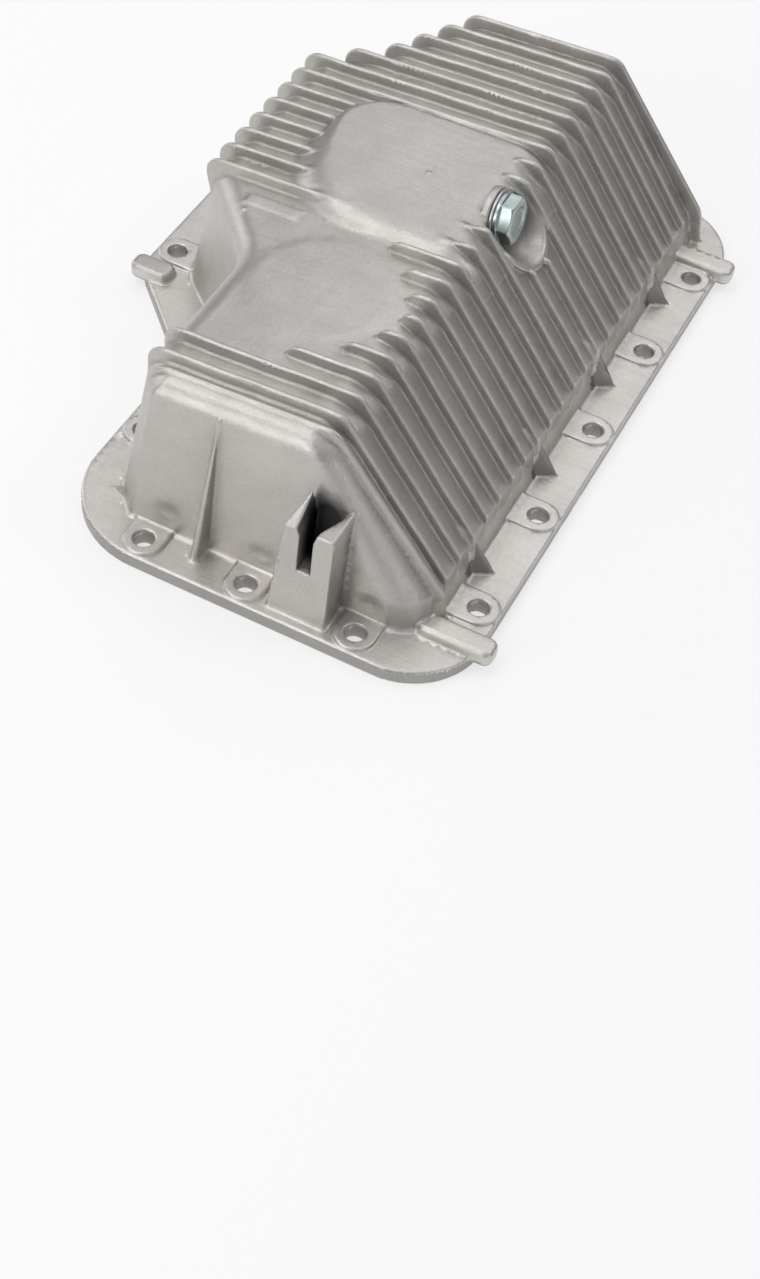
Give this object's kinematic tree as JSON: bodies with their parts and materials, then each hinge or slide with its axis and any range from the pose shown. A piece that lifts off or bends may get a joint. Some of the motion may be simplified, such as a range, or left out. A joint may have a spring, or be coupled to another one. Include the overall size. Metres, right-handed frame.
{
  "type": "engine oil pan",
  "caption": "Finned cast aluminium engine oil pan with a notched flange, sloped sump, cooling fins and a side drain plug.",
  "frame": {"origin": "on the gasket face's plane, under the middle of the part's outer box", "axes": "+X along the straight side from the narrow end to the wide end, +Y towards the notched side, +Z from the gasket face towards the sump's floor"},
  "size_m": [0.3398, 0.2458, 0.0919],
  "materials": {
    "cast_aluminium": "satin",
    "zinc_steel": "satin",
    "washer_metal": "satin"
  },
  "bodies": {
    "root": {"pan": "cast_aluminium", "drain_plug": "zinc_steel", "sealing_washer": "washer_metal"}
  },
  "joints": []
}
